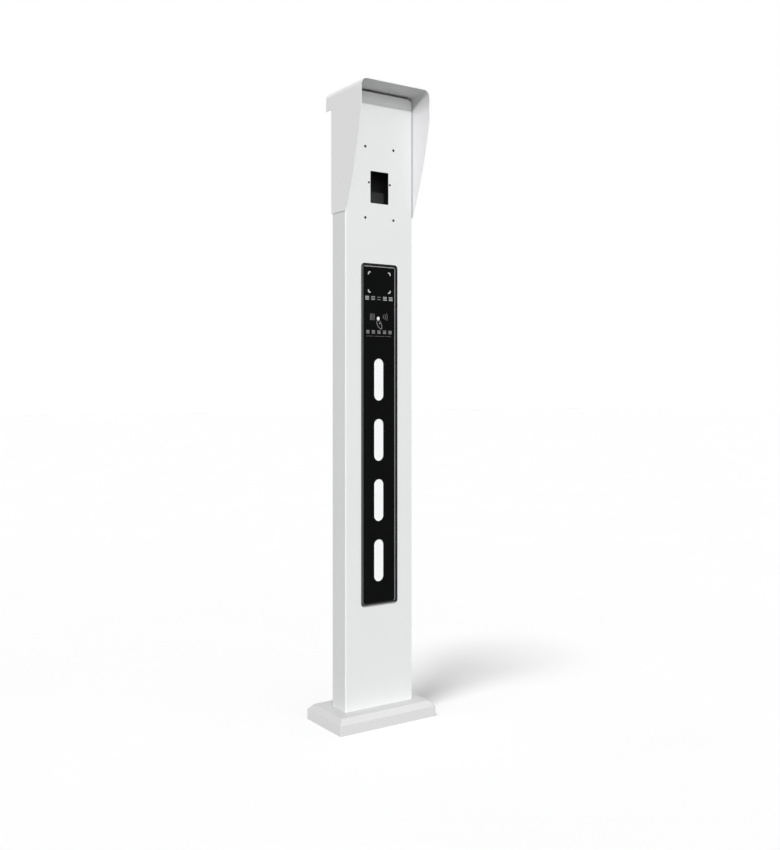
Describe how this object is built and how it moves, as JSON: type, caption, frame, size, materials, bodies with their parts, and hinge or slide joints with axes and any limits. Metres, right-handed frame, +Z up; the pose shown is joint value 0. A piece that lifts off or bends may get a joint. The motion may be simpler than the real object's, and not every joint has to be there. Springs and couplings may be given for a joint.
{
  "type": "gate intercom post",
  "caption": "Free-standing folded steel post for a gate intercom, with a rain hood, an empty terminal cut-out, a lit black panel, a foot cover and a rear service door.",
  "frame": {"origin": "centre of the anchor bolt pattern, on the underside of the anchor plate", "axes": "+X to the viewer's right when facing the panel, -Y out of the front face, +Z up"},
  "size_m": [0.27, 0.1825, 1.5],
  "materials": {
    "white_paint": "smooth semi-gloss powder coat",
    "hood_paint": "smooth semi-gloss powder coat",
    "cover_paint": "smooth semi-gloss powder coat",
    "frame_black": "black anodised with a bright bevel",
    "panel_black": "gloss black sheet",
    "diffuser_white": "opal, lit from behind",
    "light_box_white": "matt white moulding",
    "carrier_black": "matt black moulding",
    "circuit_board": "lacquered board",
    "led_yellow": "phosphor chip",
    "scanner_window": "dark red clear window",
    "zinc_steel": "zinc plated",
    "supply_case": "bare vented case",
    "terminal_plastic": "moulded grey plastic",
    "seal_rubber": "matt black rubber",
    "lock_chrome": "bright plated",
    "lock_brass": "turned brass",
    "anchor_paint": "dark grey primer"
  },
  "bodies": {
    "post": {"anchor_plate": "anchor_paint", "base_cover": "cover_paint", "cable_grommet": "seal_rubber", "card_reader_board": "circuit_board", "clip_screws": "zinc_steel", "din_rail": "zinc_steel", "earth_nut": "zinc_steel", "earth_stud": "zinc_steel", "equipment_nuts": "zinc_steel", "equipment_plate": "zinc_steel", "equipment_studs": "zinc_steel", "frame_clips": "zinc_steel", "front_glass": "panel_black", "hinge_fixed_1": "white_paint", "hinge_fixed_2": "white_paint", "hinge_fixed_3": "white_paint", "hinge_pin_1": "zinc_steel", "hinge_pin_2": "zinc_steel", "hinge_pin_3": "zinc_steel", "hood_nuts": "zinc_steel", "hood_studs": "zinc_steel", "led_board": "circuit_board", "led_chips": "led_yellow", "light_box": "light_box_white", "light_diffuser_1": "diffuser_white", "light_diffuser_2": "diffuser_white", "light_diffuser_3": "diffuser_white", "light_diffuser_4": "diffuser_white", "panel_frame": "frame_black", "post_body": "white_paint", "power_supply": "supply_case", "power_terminals": "terminal_plastic", "rail_terminals": "terminal_plastic", "rain_hood": "hood_paint", "reader_carrier": "carrier_black", "rear_head_panel": "white_paint", "rear_sill_panel": "white_paint", "scanner_housing": "carrier_black", "scanner_lens": "scanner_window", "top_plate": "white_paint"},
    "door": {"door_gasket": "seal_rubber", "hinge_moving_1": "white_paint", "hinge_moving_2": "white_paint", "hinge_moving_3": "white_paint", "lock_body": "lock_chrome", "lock_nut": "lock_brass", "rear_door": "white_paint"},
    "lock": {"cam_screw": "zinc_steel", "lock_cam": "zinc_steel", "lock_plug": "lock_chrome"}
  },
  "joints": [
    {"name": "door_hinge", "type": "hinge", "parent": "post", "child": "door", "pos_m": [0.0895, 0.031, 0.785], "axis": [0, 0, -1], "range_deg": [0, 105]},
    {"name": "lock_turn", "type": "hinge", "parent": "door", "child": "lock", "pos_m": [-0.06, 0.03, 0.785], "axis": [0, 1, 0], "range_deg": [0, 90]}
  ]
}
